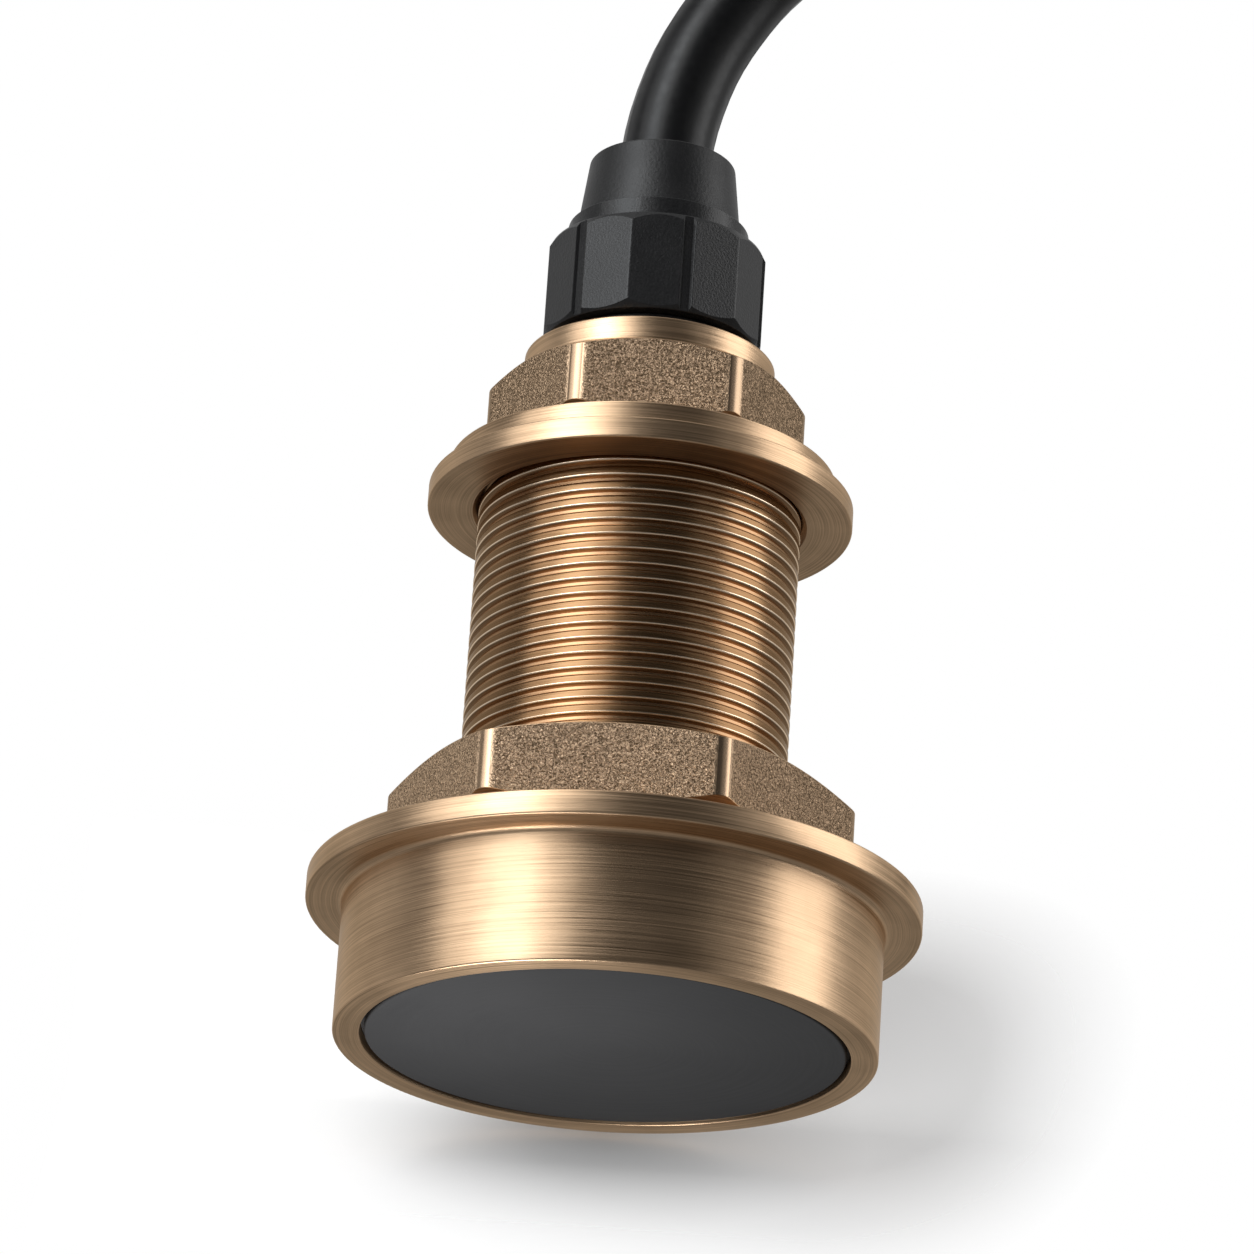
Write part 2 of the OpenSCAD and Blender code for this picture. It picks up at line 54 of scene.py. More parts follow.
# Housing, in millimetres, as are the other pieces
CAN_R = 39.3
MOUTH_R = 35.4
CAVITY_R = 34.0
CAVITY_TOP = 18.0
WINDOW_BACK = 4.9
FLANGE_R = 44.7
FLANGE_FOOT = 19.7
FLANGE_TOP = 23.3
STEM_R = 23.9
STEM_TOP = 89.3
STEM_BORE_R = 17.0
EDGE_R = 0.3
COVE_R = 1.0
STEM_CHAMFER = 1.2
LEAD_IN = 0.8
FIT = 0.1
ARC_STEPS = 4

# Pipe thread of the stem, with broad crests and narrow roots
PITCH = 2.309
THREAD_DEPTH = 0.6
THREAD_CROWN = 0.015
THREAD_FALL_POWER = 1.3
THREAD_STEPS = 160
THREAD_SHARP = 50
WELD = 0.002
# Shares of a pitch from the middle of a crest: its end, the start of the root, and every stop of the profile
THREAD_CREST = 0.21
THREAD_ROOT = 0.41
THREAD_STOPS = (0.1, 0.17, THREAD_CREST, 0.235, 0.27, 0.32, THREAD_ROOT)

# Hexagons of the hull nut and the stem cap
NUT_ACROSS = 60.0
NUT_FOOT = 3.6
NUT_TOP = 39.1
NUT_SLOPE = math.tan(math.radians(20))
NUT_TURN = -5.5
CAP_ACROSS = 41.8
CAP_FOOT = 1.2
CAP_SLOPE = math.tan(math.radians(30))
CAP_HEX_TOP = 103.0
CAP_TURN = 2.4
COLLAR_R = 18.7
CAP_TOP = 107.4
SPIGOT_FOOT = 76.3
SPIGOT_R = 16.9
SPIGOT_BORE_R = 9.0
GLAND_HOLE_R = 12.6
GLAND_HOLE_FOOT = 96.3
HEX_SIDES = 6
HEX_STEP = 360 / HEX_SIDES
HEX_HALF = HEX_STEP / 2
HEX_COS = math.cos(math.radians(HEX_HALF))
HEX_TAN = math.tan(math.radians(HEX_HALF))
HEX_CORNER_CUT = 0.5
HEX_ROUND = HEX_CORNER_CUT / (1 / HEX_COS - 1)
HEX_LAND = 0.4
HEX_SOFT = 0.16
CORNER_STEPS = 8
# Shares of half a flat at which its mesh has a column
FLAT_STOPS = (0, 0.15, 0.3, 0.45, 0.6, 0.75, 0.87, 0.95, 0.985)

# Gland nut of twelve flats, grooved at every second corner
GRIP_R = 16.8
GRIP_FOOT = 109.9
GRIP_TOP = 125.5
GRIP_CHAMFER = 0.8
GRIP_FOOT_SLOPE = 1.5
GRIP_TOP_SLOPE = 1.9
GRIP_TURN = 16.0
GRIP_SHARP = 20
GROOVES = 6
GROOVE_STEP = 360 / GROOVES
FLAT_STEP = GROOVE_STEP / 2
GROOVE_W = 1.4
GROOVE_DEPTH = 0.7
GROOVE_FLARE = 0.5
TOP_RING_R = 13.6
TOP_RING_TOP = 129.2
GRIP_BORE_R = 13.3
GRIP_BORE_TOP = 120.9
SLEEVE_R = 10.3
SLEEVE_TOP = 123.5
TAIL_HOLE_R = 9.2
GRIP_SOFT = 0.12
GRIP_EDGE_SOFT = 0.035
GRIP_LIP_SOFT = 0.03
# Columns of its mesh: millimetres from the edge of a groove's floor, then degrees from the groove's middle
GROOVE_STOPS = (-0.35, -0.05, 0, 0.05, 0.15, 0.22, 0.27, 0.31, 0.35, 0.42, 0.55)
GRIP_STOPS = (6, 9, 12, 16, 20, 24, 27, 28.4, 28.9, 29.2, 29.5, 29.75)

# Cable and its hank
CABLE_D = 13.8
CABLE_START_Z = 113.8
CABLE_ALONG_STEPS = 5
CABLE_ROUND_STEPS = 5
RELIEF_TOP = 140.0
HANK_LAYERS = 5
HANK_BASE = 1.6
HANK_FOLD_R = 41.4
HANK_MID_Y = 55.2
HANK_LEFT_X = 167.1
HANK_RIGHT_X = 293.1
FOLD_STEPS = 10
RUN_STEPS = 4
TAIL_RISE = 18.4
TIE_X = (237.1, 284.1)
TIE_SIDES = (-1, 1)
TIE_W = 12.0
TIE_T = 1.4
TIE_EDGE_R = 0.4
TIE_EDGE_STEPS = 2
TIE_BEND_STEPS = 8
# Shares of a fold at which a turn starts to sink, to change its column or to climb, and the share that takes
SINK_FROM = 0.6
CHANGE_FROM = 0.2
CLIMB_FROM = 0
SHIFT_TAKES = 0.4

# Cable's way out of the gland and over, above the top of the strain relief
RISE = [
    (0, -16), (0, -4), (2, 11.5), (8, 26), (17.5, 38.5), (30, 48), (44.5, 54), (60, 56),
    (75.5, 54), (90, 48), (102.5, 38.5), (112, 26), (118, 11.5), (120, -4),
]
# Its way down onto the hank, above the middle of the top layer
FALL = [(120, 60), (122, 44.5), (128, 30), (137.5, 17.5), (150, 8), (164.5, 2), (180, 0), (190, 0)]
# Its end's way up off the top layer, in shares of the rise to the plug's axis
TAIL = [
    (270, 0), (262, 0), (252, 0.05), (242, 0.2), (231, 0.5), (220, 0.8), (210, 0.95), (200, 1), (188, 1),
]


def add_camera():
    forward = Vector((0, math.cos(CAM_ELEVATION), -math.sin(CAM_ELEVATION)))
    level_up = Vector((0, math.sin(CAM_ELEVATION), math.cos(CAM_ELEVATION)))
    side = Vector((1, 0, 0))
    right = math.cos(CAM_ROLL) * side + math.sin(CAM_ROLL) * level_up
    up = math.cos(CAM_ROLL) * level_up - math.sin(CAM_ROLL) * side
    place = Matrix((right, up, -forward)).transposed().to_4x4()
    place.translation = CAM_TARGET - CAM_DISTANCE * forward
    data = bpy.data.cameras.new("camera")
    data.sensor_width = SENSOR_MM
    data.lens = FOCAL_PX / IMAGE_PX * SENSOR_MM
    data.clip_start = 0.01
    data.clip_end = 20
    camera = bpy.data.objects.new("camera", data)
    camera.matrix_world = place
    bpy.context.scene.collection.objects.link(camera)
    bpy.context.scene.camera = camera


def ease(share):
    share = min(max(share, 0), 1)
    return share * share * (3 - 2 * share)


def fold_points(centre_x, start, turns):
    """Points round one end of the hank: turns(share) is the radius and height at a share of the bend."""
    points = []
    for k in range(1, FOLD_STEPS):
        r, z = turns(k / FOLD_STEPS)
        angle = math.radians(start + 180 * k / FOLD_STEPS)
        points.append((centre_x + r * math.cos(angle), HANK_MID_Y + r * math.sin(angle), z))
    return points


def run_points(x0, x1, y, z):
    return [(x0 + (x1 - x0) * k / RUN_STEPS, y, z) for k in range(RUN_STEPS + 1)]


def shift_start(climb):
    """Changes of column come between the changes of layer, so that no turn meets another."""
    if climb == 0:
        return CHANGE_FROM
    return SINK_FROM if climb < 0 else CLIMB_FROM


def hank_points():
    """Turns of the hank: down its outer column from the top, then up the inner one."""
    outer_r = HANK_FOLD_R + CABLE_D
    layers = range(HANK_LAYERS)
    turns = [(outer_r, layer) for layer in reversed(layers)] + [(HANK_FOLD_R, layer) for layer in layers]
    points = []
    for i, (r, layer) in enumerate(turns):
        z = HANK_BASE + (layer + 0.5) * CABLE_D
        last = i == len(turns) - 1
        start_x = FALL[-1][0] if i == 0 else HANK_LEFT_X
        end_x = TAIL[0][0] if last else HANK_LEFT_X
        points += run_points(start_x, HANK_RIGHT_X, HANK_MID_Y - r, z)
        points += fold_points(HANK_RIGHT_X, -90, lambda share: (r, z))
        points += run_points(HANK_RIGHT_X, end_x, HANK_MID_Y + r, z)
        if last:
            break
        next_r, next_layer = turns[i + 1]
        climb = (next_layer - layer) * CABLE_D
        begin = shift_start(climb)
        points += fold_points(
            HANK_LEFT_X,
            90,
            lambda share: (
                r + (next_r - r) * ease((share - begin) / SHIFT_TAKES),
                z + climb * ease((share - begin) / SHIFT_TAKES),
            ),
        )
    return points


def cable_points():
    lay_z = HANK_BASE + (HANK_LAYERS - 0.5) * CABLE_D
    tail_y = HANK_MID_Y + HANK_FOLD_R
    points = [(0, 0, CABLE_START_Z)]
    points += [(x, 0, RELIEF_TOP + z) for x, z in RISE]
    points += [(x, 0, lay_z + z) for x, z in FALL]
    points += hank_points()[1:]
    points += [(x, tail_y, lay_z + TAIL_RISE * share) for x, share in TAIL[1:]]
    return [Vector(p) * MM for p in points]


def add_cable():
    data = bpy.data.curves.new("cable_run", "CURVE")
    data.dimensions = "3D"
    data.resolution_u = CABLE_ALONG_STEPS
    data.bevel_depth = CABLE_D / 2 * MM
    data.bevel_resolution = CABLE_ROUND_STEPS
    data.use_fill_caps = True
    points = cable_points()
    spline = data.splines.new("BEZIER")
    spline.bezier_points.add(len(points) - 1)
    for bezier, point in zip(spline.bezier_points, points):
        bezier.co = point
        bezier.handle_left_type = bezier.handle_right_type = "AUTO"
    cable = bpy.data.objects.new("cable_run", data)
    bpy.context.scene.collection.objects.link(cable)
    return cable


def rounded(points, steps=ARC_STEPS):
    """Closed outline [r, z, radius] with each corner that has a radius drawn as an arc."""
    outline = []
    count = len(points)
    for i, (r, z, radius) in enumerate(points):
        p = Vector((r, z))
        if radius <= 0:
            outline.append(p)
            continue
        back = (Vector(points[i - 1][:2]) - p).normalized()
        ahead = (Vector(points[(i + 1) % count][:2]) - p).normalized()
        half = back.angle(ahead) / 2
        centre = p + (back + ahead).normalized() * radius / math.sin(half)
        first = p + back * radius / math.tan(half) - centre
        final = p + ahead * radius / math.tan(half) - centre
        sweep = math.pi - 2 * half
        for k in range(steps + 1):
            turn = sweep * k / steps
            arm = (first * math.sin(sweep - turn) + final * math.sin(turn)) / math.sin(sweep)
            outline.append(centre + arm)
    return outline


def rounded_box(half_width, half_height, radius, steps):
    return rounded([
        (-half_width, -half_height, radius),
        (half_width, -half_height, radius),
        (half_width, half_height, radius),
        (-half_width, half_height, radius),
    ], steps)


def spun(outline, angle):
    """Outline of radius and height in millimetres, turned to an angle about the stem."""
    return [Vector((p[0] * math.cos(angle), p[0] * math.sin(angle), p[1])) * MM for p in outline]


def finish_mesh(name, bm, sharp=30):
    """New piece, smooth but for edges over an angle in degrees."""
    bmesh.ops.recalc_face_normals(bm, faces=bm.faces)
    mesh = bpy.data.meshes.new(name)
    bm.to_mesh(mesh)
    bm.free()
    mesh.shade_smooth()
    mesh.set_sharp_from_angle(angle=math.radians(sharp))
    piece = bpy.data.objects.new(name, mesh)
    bpy.context.scene.collection.objects.link(piece)
    return piece


def skin(bm, loops, closed=True, slots=None):
    """Quads between neighbouring loops of points; slots(i, j) gives a quad's material."""
    rows = [[bm.verts.new(p) for p in loop] for loop in loops]
    count = len(rows[0])
    for i in range(len(rows) if closed else len(rows) - 1):
        here, there = rows[i], rows[(i + 1) % len(rows)]
        for j in range(count):
            k = (j + 1) % count
            face = bm.faces.new((here[j], there[j], there[k], here[k]))
            if slots:
                face.material_index = slots(i, j)


def weigh_normals(piece):
    """Keeps flats flat beside their small roundings."""
    modifier = piece.modifiers.new("weighted_normals", "WEIGHTED_NORMAL")
    modifier.mode = "FACE_AREA"
    modifier.weight = 100
    modifier.keep_sharp = True


def thread_profile():
    """One pitch of the thread, its crest slightly crowned, as height and radius from root to root."""
    shares = [-0.5, *(-stop for stop in reversed(THREAD_STOPS)), *THREAD_STOPS]
    profile = []
    for share in shares:
        crown = THREAD_CROWN * min(1, (share / THREAD_CREST) ** 2)
        fall = max(0, min(1, (abs(share) - THREAD_CREST) / (THREAD_ROOT - THREAD_CREST)))
        depth = crown + (THREAD_DEPTH - THREAD_CROWN) * fall ** THREAD_FALL_POWER
        profile.append((share * PITCH, STEM_R - depth))
    return profile


def add_housing():
    """Can, flange and stem in one skin, with the thread cut down the stem."""
    root_r = STEM_R - THREAD_DEPTH
    thread_top = STEM_TOP - STEM_CHAMFER
    outline = rounded([
        (root_r, FLANGE_TOP, 0),
        (FLANGE_R, FLANGE_TOP, EDGE_R),
        (FLANGE_R, FLANGE_FOOT, EDGE_R),
        (CAN_R, FLANGE_FOOT, COVE_R),
        (CAN_R, 0, EDGE_R),
        (MOUTH_R, 0, EDGE_R / 2),
        (MOUTH_R, WINDOW_BACK, 0),
        (CAVITY_R, WINDOW_BACK, 0),
        (CAVITY_R, CAVITY_TOP, COVE_R),
        (STEM_BORE_R, CAVITY_TOP, 0),
        (STEM_BORE_R, STEM_TOP, 0),
        (root_r, STEM_TOP, 0),
        (root_r, thread_top, 0),
    ])
    profile = thread_profile()
    turns = math.ceil((thread_top - FLANGE_TOP) / PITCH) + 1
    loops = []
    for i in range(THREAD_STEPS + 1):
        share = i / THREAD_STEPS
        column = []
        for turn in range(-1, turns):
            for height, r in profile:
                z = FLANGE_TOP + (turn + share) * PITCH + height
                inside = FLANGE_TOP < z < thread_top
                column.append((r if inside else root_r, min(max(z, FLANGE_TOP), thread_top)))
        loops.append(spun(outline[:-1] + column[::-1], 2 * math.pi * share))
    bm = bmesh.new()
    skin(bm, loops, closed=False)
    bmesh.ops.remove_doubles(bm, verts=bm.verts, dist=WELD * MM)
    return finish_mesh("bronze_housing", bm, THREAD_SHARP)


def off_nearest(angle, step):
    """Angle from the nearest whole number of steps."""
    return (angle + step / 2) % step - step / 2


def hex_corner_r(across):
    """Radius of a hexagon's corners, as they are cut."""
    return across / 2 / HEX_COS - HEX_CORNER_CUT


def hex_round_start(across):
    """Angle from the middle of a hexagon's flat at which its rounded corner starts."""
    half_flat = across / 2 * HEX_TAN - HEX_ROUND * HEX_TAN
    return math.degrees(math.atan2(half_flat, across / 2))


def hex_turns(across):
    """Angles round a hexagon, close together at its corners."""
    start = hex_round_start(across)
    half = [start * share for share in FLAT_STOPS]
    half += [start + (HEX_HALF - start) * k / CORNER_STEPS for k in range(CORNER_STEPS + 1)]
    flat = [-a for a in reversed(half[1:])] + half[:-1]
    return [HEX_STEP * side + a for side in range(HEX_SIDES) for a in flat]


def hex_wall(across, angle):
    """Radius of a hexagon with rounded corners, flats facing front and back."""
    off_flat = abs(off_nearest(angle, HEX_STEP))
    if off_flat <= hex_round_start(across):
        return across / 2 / math.cos(math.radians(off_flat))
    centre_r = (across / 2 - HEX_ROUND) / HEX_COS
    off_corner = math.radians(HEX_HALF - off_flat)
    aside = centre_r * math.sin(off_corner)
    return centre_r * math.cos(off_corner) + math.sqrt(HEX_ROUND ** 2 - aside ** 2)


def prism_side(wall_r, end_r, heights, slopes, soft):
    """Side of a prism from its foot to its top, chamfered at both ends."""
    foot, top = heights
    foot_slope, top_slope = slopes
    return [
        (end_r, foot, soft),
        (wall_r, foot + foot_slope * (wall_r - end_r), soft),
        (wall_r, top - top_slope * (wall_r - end_r), soft),
        (end_r, top, soft),
    ]


# Materials of a hexagon, in their order
CAST, TURNED = 0, 1


def add_hexagon(name, across, turn, heights, slope, below, above):
    """Hexagon with cast flats: below leads to the foot of its side, and above goes on from the top."""
    end_r = across / 2 - HEX_LAND
    foot = [*below, (end_r, below[-1][1], 0)]
    loops = []
    for angle in hex_turns(across):
        side = prism_side(hex_wall(across, angle), end_r, heights, (slope, slope), HEX_SOFT)
        loops.append(spun(rounded([*foot, *side, *above]), math.radians(angle + 90 + turn)))
    # The flat comes after the points of the foot and of two rounded corners
    flat = len(foot) - 1 + 2 * (ARC_STEPS + 1)
    bm = bmesh.new()
    skin(bm, loops, slots=lambda i, j: CAST if j == flat else TURNED)
    piece = finish_mesh(name, bm)
    weigh_normals(piece)
    return piece


def add_hull_nut():
    bore_r = STEM_R + FIT
    return add_hexagon(
        "cast_hull_nut",
        NUT_ACROSS,
        NUT_TURN,
        (FLANGE_TOP + NUT_FOOT, NUT_TOP),
        NUT_SLOPE,
        below=[(bore_r, FLANGE_TOP, 0)],
        above=[(bore_r + LEAD_IN, NUT_TOP, 0), (bore_r, NUT_TOP - LEAD_IN, 0)],
    )


def add_stem_cap():
    return add_hexagon(
        "cast_stem_cap",
        CAP_ACROSS,
        CAP_TURN,
        (STEM_TOP + CAP_FOOT, CAP_HEX_TOP),
        CAP_SLOPE,
        below=[(SPIGOT_BORE_R, SPIGOT_FOOT, 0), (SPIGOT_R, SPIGOT_FOOT, 0), (SPIGOT_R, STEM_TOP, 0)],
        above=[
            (COLLAR_R, CAP_HEX_TOP, 0),
            (COLLAR_R, CAP_TOP, EDGE_R),
            (GLAND_HOLE_R, CAP_TOP, 0),
            (GLAND_HOLE_R, GLAND_HOLE_FOOT, 0),
            (SPIGOT_BORE_R, GLAND_HOLE_FOOT, 0),
        ],
    )


def softer_least(a, b, soft):
    """The smaller of two lengths, rounded over where they meet."""
    return min(a, b) - soft * math.log(1 + math.exp(-abs(a - b) / soft))


def grip_wall(angle):
    """Radius of the gland nut's twelve flats, with a groove at every second corner."""
    off_corner = off_nearest(angle, FLAT_STEP)
    half_flat = FLAT_STEP / 2
    apothem = GRIP_R * math.cos(math.radians(half_flat))
    off_flats = (math.radians(off_corner + half_flat), math.radians(off_corner - half_flat))
    near_r, far_r = (apothem / math.cos(a) for a in off_flats)
    flat_r = softer_least(near_r, far_r, GRIP_EDGE_SOFT)
    off_groove = math.radians(off_nearest(angle, GROOVE_STEP))
    beyond_floor = max(GRIP_R * abs(math.sin(off_groove)) - GROOVE_W / 2, 0)
    groove_r = GRIP_R - GROOVE_DEPTH + GROOVE_DEPTH / GROOVE_FLARE * beyond_floor
    return softer_least(flat_r, groove_r / math.cos(off_groove), GRIP_LIP_SOFT)


def grip_turns():
    """Angles round the gland nut, from one groove to the next, close together at edges."""
    half = [0]
    half += [math.degrees(math.asin((GROOVE_W / 2 + stop) / GRIP_R)) for stop in GROOVE_STOPS]
    half += GRIP_STOPS
    sector = half + [FLAT_STEP] + [GROOVE_STEP - a for a in reversed(half[1:])]
    return [GROOVE_STEP * k + a for k in range(GROOVES) for a in sector]


def add_gland_nut():
    end_r = GRIP_R - GRIP_CHAMFER
    heights = (GRIP_FOOT, GRIP_TOP)
    slopes = (GRIP_FOOT_SLOPE, GRIP_TOP_SLOPE)
    loops = []
    for angle in grip_turns():
        outline = [
            (GRIP_BORE_R, GRIP_FOOT, 0),
            *prism_side(grip_wall(angle), end_r, heights, slopes, GRIP_SOFT),
            (TOP_RING_R, GRIP_TOP, 0),
            (TOP_RING_R, TOP_RING_TOP, EDGE_R / 2),
            (TAIL_HOLE_R, TOP_RING_TOP, 0),
            (TAIL_HOLE_R, SLEEVE_TOP, 0),
            (SLEEVE_R, GRIP_BORE_TOP, 0),
            (GRIP_BORE_R, GRIP_BORE_TOP, 0),
        ]
        loops.append(spun(rounded(outline), math.radians(angle - 90 + GRIP_TURN)))
    bm = bmesh.new()
    skin(bm, loops)
    piece = finish_mesh("moulded_gland_nut", bm, GRIP_SHARP)
    weigh_normals(piece)
    return piece


def add_ties():
    """Two flat straps round the sides of the hank, drawn tight over its turns."""
    bm = bmesh.new()
    half_t = TIE_T / 2
    half_stack = HANK_LAYERS * CABLE_D / 2
    band = rounded_box(CABLE_D + half_t, half_stack + half_t, CABLE_D / 2 + half_t, TIE_BEND_STEPS)
    section = rounded_box(TIE_W / 2, half_t, TIE_EDGE_R, TIE_EDGE_STEPS)
    mid_z = HANK_BASE + half_stack
    for x, side in zip(TIE_X, TIE_SIDES):
        mid_y = HANK_MID_Y + side * (HANK_FOLD_R + CABLE_D / 2)
        loops = []
        for k, centre in enumerate(band):
            along = (band[(k + 1) % len(band)] - band[k - 1]).normalized()
            out = Vector((along.y, -along.x))
            loop = []
            for across, lift in section:
                place = centre + out * lift
                loop.append(Vector((x + across, mid_y + place.x, mid_z + place.y)) * MM)
            loops.append(loop)
        skin(bm, loops)
    return finish_mesh("hank_straps", bm)


# Darker and lighter tone of each material
BRONZE_TONES = ((0.36, 0.243, 0.149), (0.68, 0.474, 0.302))
CAST_TONES = ((0.135, 0.090, 0.054), (0.54, 0.380, 0.251))
THREAD_TONES = ((0.135, 0.073, 0.031), (0.44, 0.262, 0.145))
PLASTIC_TONES = ((0.004, 0.004, 0.0043), (0.017, 0.017, 0.0178))
RUBBER_TONES = ((0.003, 0.003, 0.0033), (0.012, 0.012, 0.0127))
JACKET_TONES = ((0.003, 0.003, 0.0033), (0.006, 0.006, 0.0064))
RESIN_TONES = ((0.032, 0.032, 0.033), (0.041, 0.041, 0.042))
STRAP_TONES = ((0.02, 0.02, 0.022), (0.07, 0.07, 0.075))
BRONZE_EDGE = (0.95, 0.84, 0.70, 1)
# Painted highlight: bright colour on the rim under each crest, standing in for a reflection
THREAD_PAINTED_HIGHLIGHT = (1.0, 0.80, 0.60)
# Tone of each hexagon's smooth corners, from which the grain of its flats goes darker and lighter
NUT_TONE = 0.78
CAP_TONE = 0.62
# Shares of a pitch: from a crest's middle, where its flank turns lighter in painted light, and from its rim,
# where the painted highlight line ends
FLANK_LIGHT_SPAN = (0.25, 0.4)
HIGHLIGHT_LINE_SPAN = (0.025, 0.06)
# Millimetres inside a hexagon's corners at which its grain starts to fade, and is gone
GRAIN_FADE = (0.42, 0.14)
# Weight of height against radius in the marks of a lathe
MARKS_RISE = 1.37
# Most of a noise lies between these values
NOISE_SPAN = (0.3, 0.7)
FINISH_SPREAD = 0.05

# Places of a Mix node's two colours, their mix, and its two numbers
MIX_COLOUR_A = 6
MIX_COLOUR_B = 7
MIX_COLOUR = 2
MIX_NUMBER_A = 2
MIX_NUMBER_B = 3


def fill(tree, node, sockets):
    """Gives each input named in sockets its value, or another node's output."""
    for key, value in sockets.items():
        if isinstance(value, bpy.types.NodeSocket):
            tree.links.new(value, node.inputs[key])
        else:
            node.inputs[key].default_value = value


def add_node(tree, kind, sockets=None, **settings):
    made = tree.nodes.new(kind)
    for name, value in settings.items():
        setattr(made, name, value)
    fill(tree, made, sockets or {})
    return made


def math_node(tree, operation, *values):
    return add_node(tree, "ShaderNodeMath", dict(enumerate(values)), operation=operation).outputs[0]


def vector_node(tree, operation, sockets):
    return add_node(tree, "ShaderNodeVectorMath", sockets, operation=operation).outputs


def empty_tree(owner):
    """Node tree of a material or world, with nothing in it."""
    owner.use_nodes = True
    owner.node_tree.nodes.clear()
    return owner.node_tree


def new_material(name):
    """Material with a principled shader: its tree, the shader and the object's own coordinates."""
    material = bpy.data.materials.new(name)
    tree = empty_tree(material)
    shader = add_node(tree, "ShaderNodeBsdfPrincipled")
    add_node(tree, "ShaderNodeOutputMaterial", {"Surface": shader.outputs[0]})
    place = add_node(tree, "ShaderNodeTexCoord").outputs["Object"]
    return material, tree, shader, place


def noise(tree, vector, scale, detail=2.0, roughness=0.5, distortion=0.0):
    made = add_node(tree, "ShaderNodeTexNoise", {
        "Vector": vector, "Scale": scale, "Detail": detail, "Roughness": roughness, "Distortion": distortion,
    })
    return made.outputs["Fac"]


def span(tree, value, source, target):
    """Value between the ends of source, drawn out to the ends of target and kept between them."""
    made = add_node(tree, "ShaderNodeMapRange", {
        "Value": value,
        "From Min": source[0],
        "From Max": source[1],
        "To Min": target[0],
        "To Max": target[1],
    })
    return made.outputs["Result"]


def blend(tree, first, second, share):
    """A share of the first noise, and the rest from the second."""
    rest = math_node(tree, "MULTIPLY", second, 1 - share)
    return math_node(tree, "MULTIPLY_ADD", first, share, rest)


def colour_between(tree, share, tones):
    """Mix of two tones, each a colour or another node's output."""
    dark, light = (tone if isinstance(tone, bpy.types.NodeSocket) else (*tone, 1) for tone in tones)
    sockets = {"Factor": share, MIX_COLOUR_A: dark, MIX_COLOUR_B: light}
    return add_node(tree, "ShaderNodeMix", sockets, data_type="RGBA").outputs[MIX_COLOUR]


def bump(tree, height, depth_mm, strength):
    sockets = {"Height": height, "Strength": strength, "Distance": depth_mm * MM}
    return add_node(tree, "ShaderNodeBump", sockets).outputs["Normal"]


def from_axis(tree, place):
    """Distance from the stem's axis, and the three coordinates."""
    x, y, z = add_node(tree, "ShaderNodeSeparateXYZ", {0: place}).outputs
    squares = math_node(tree, "ADD", math_node(tree, "MULTIPLY", x, x), math_node(tree, "MULTIPLY", y, y))
    return math_node(tree, "SQRT", squares), x, y, z


def turning_marks(tree, place, along, across, offset=0.0):
    """Noise drawn out round the stem, so that it follows the marks of a lathe on every turned face."""
    radius, x, y, z = from_axis(tree, place)
    depth = math_node(tree, "MULTIPLY_ADD", z, MARKS_RISE, radius)
    vector = add_node(tree, "ShaderNodeCombineXYZ", {
        0: math_node(tree, "MULTIPLY_ADD", x, along, offset),
        1: math_node(tree, "MULTIPLY", y, along),
        2: math_node(tree, "MULTIPLY", depth, across),
    }).outputs[0]
    return noise(tree, vector, scale=1.0, detail=2, roughness=0.55)


def round_stem(tree):
    return add_node(tree, "ShaderNodeTangent", direction_type="RADIAL", axis="Z").outputs[0]


def leaning_normal(tree, share, reach, normal):
    """Normal swung round the stem by noise, as each line of a brush throws the light its own way."""
    swing = math_node(tree, "MULTIPLY", math_node(tree, "SUBTRACT", share, 0.5), reach)
    aside = vector_node(tree, "SCALE", {0: round_stem(tree), "Scale": swing})[0]
    leaning = vector_node(tree, "ADD", {0: normal, 1: aside})[0]
    return vector_node(tree, "NORMALIZE", {0: leaning})[0]


def turned_bronze():
    material, tree, shader, place = new_material("turned_bronze_brushed")
    lines = turning_marks(tree, place, along=32, across=4600)
    leans = turning_marks(tree, place, along=38, across=5300, offset=3.7)
    cloud = noise(tree, place, scale=90, detail=3)
    tone = span(tree, blend(tree, cloud, lines, share=0.3), (0.35, 0.65), (0, 1))
    raised = bump(tree, lines, depth_mm=0.01, strength=0.5)
    fill(tree, shader, {
        "Base Color": colour_between(tree, tone, BRONZE_TONES),
        "Roughness": span(tree, lines, NOISE_SPAN, (0.30, 0.42)),
        "Metallic": 1,
        "Specular Tint": BRONZE_EDGE,
        "Anisotropic": 0.5,
        "Anisotropic Rotation": 0.25,
        "Tangent": round_stem(tree),
        "Normal": leaning_normal(tree, leans, reach=0.14, normal=raised),
    })
    return material


def cast_bronze(name, corner_r, plain_tone):
    """Sand-cast grain on the flats, fading out to smooth metal at the turned corners."""
    material, tree, shader, place = new_material(name)
    worms = noise(tree, place, scale=3200, detail=2, roughness=0.5, distortion=0.8)
    radius = from_axis(tree, place)[0]
    rough = span(tree, radius, [(corner_r - inside) * MM for inside in GRAIN_FADE], (1, 0))
    grain = span(tree, worms, (0.37, 0.63), (-0.8, 0.4))
    tone = math_node(tree, "MULTIPLY_ADD", grain, rough, plain_tone)
    height = math_node(tree, "MULTIPLY", worms, rough)
    fill(tree, shader, {
        "Base Color": colour_between(tree, tone, CAST_TONES),
        "Roughness": span(tree, rough, (0, 1), (0.26, 0.42)),
        "Metallic": 1,
        "Specular Tint": BRONZE_EDGE,
        "Normal": bump(tree, height, depth_mm=0.45, strength=1.0),
    })
    return material


